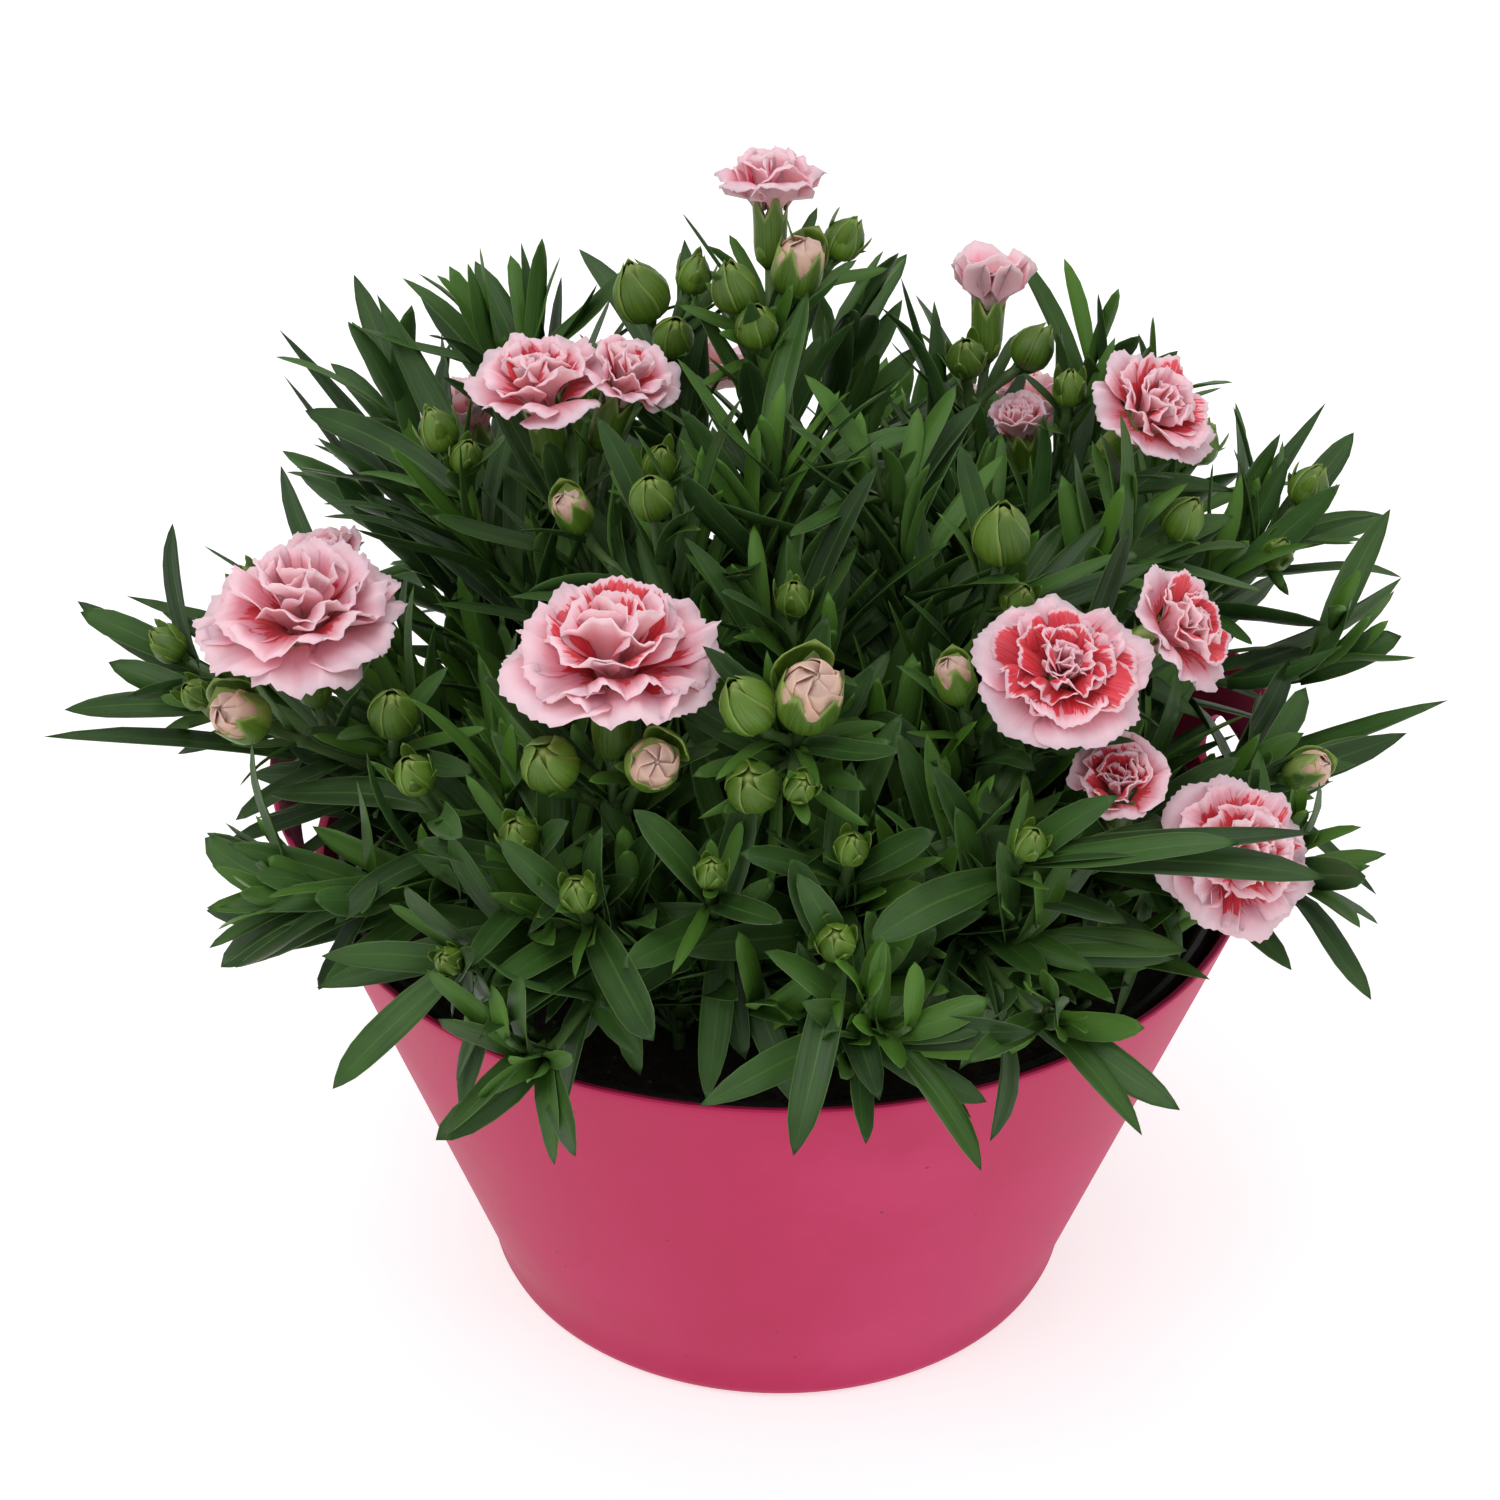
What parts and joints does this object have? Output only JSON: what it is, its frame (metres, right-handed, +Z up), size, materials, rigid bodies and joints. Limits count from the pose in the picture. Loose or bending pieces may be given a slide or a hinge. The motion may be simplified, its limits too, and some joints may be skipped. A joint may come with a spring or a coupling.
{
  "type": "dianthus plant",
  "caption": "Pot dianthus with double toothed blooms, buds and narrow grey-green leaves, in a grow pot inside a round bowl with two ears pierced for the fingers.",
  "frame": {"origin": "centre of the bowl's flat base, where it rests", "axes": "+Z up; the bowl's two ears lie along +X and -X; -Y is the front, on the side of the two largest blooms"},
  "size_m": [0.3269, 0.3115, 0.277],
  "materials": {
    "bowl_plastic": "raspberry pink moulded plastic, satin, lightly scuffed",
    "black_plastic": "thin black thermoformed plastic with a slight gloss",
    "potting_soil": "loose dark potting soil, matt",
    "foliage": "waxy grey-green leaves, stems, calyxes and buds, matt",
    "petals": "soft pale pink petals with coral red blotches",
    "opening_petals": "folded cream and peach petals of an opening bud"
  },
  "bodies": {
    "root": {"bloom_back_bloom": "petals", "bloom_back_left_bloom": "petals", "bloom_back_right_bloom": "petals", "bloom_crown": "petals", "bloom_crown_right": "petals", "bloom_front_left_bloom": "petals", "bloom_front_right_bloom": "petals", "bloom_hidden_bloom": "petals", "bloom_inner_left": "petals", "bloom_left_back_bloom": "petals", "bloom_left_bloom": "petals", "bloom_low_right_bloom": "petals", "bloom_right_bloom": "petals", "bloom_right_slim": "petals", "bloom_right_tall": "petals", "bowl": "bowl_plastic", "grow_pot": "black_plastic", "soil": "potting_soil", "stem_back_bloom": "foliage", "stem_back_left_bloom": "foliage", "stem_back_right_bloom": "foliage", "stem_back_tuft_1": "foliage", "stem_back_tuft_2": "foliage", "stem_back_tuft_3": "foliage", "stem_back_tuft_4": "foliage", "stem_centre": "foliage", "stem_crown": "foliage", "stem_crown_left": "foliage", "stem_crown_right": "foliage", "stem_front_left_bloom": "foliage", "stem_front_opening": "foliage", "stem_front_right_bloom": "foliage", "stem_front_tuft_1": "foliage", "stem_front_tuft_2": "foliage", "stem_front_tuft_3": "foliage", "stem_front_tuft_4": "foliage", "stem_front_tuft_5": "foliage", "stem_front_tuft_6": "foliage", "stem_hidden_bloom": "foliage", "stem_inner_left": "foliage", "stem_left_back_bloom": "foliage", "stem_left_bloom": "foliage", "stem_left_buds": "foliage", "stem_left_side": "foliage", "stem_low_right_bloom": "foliage", "stem_middle": "foliage", "stem_right_bloom": "foliage", "stem_right_centre": "foliage", "stem_right_low": "foliage", "stem_right_side": "foliage", "stem_right_slim": "foliage", "stem_right_tall": "foliage", "tip_back_tuft_3_1": "opening_petals", "tip_crown_2": "opening_petals", "tip_front_left_bloom_2": "opening_petals", "tip_front_opening_1": "opening_petals", "tip_front_right_bloom_2": "opening_petals", "tip_left_bloom_2": "opening_petals", "tip_middle_2": "opening_petals", "tip_right_low_1": "opening_petals"}
  },
  "joints": []
}
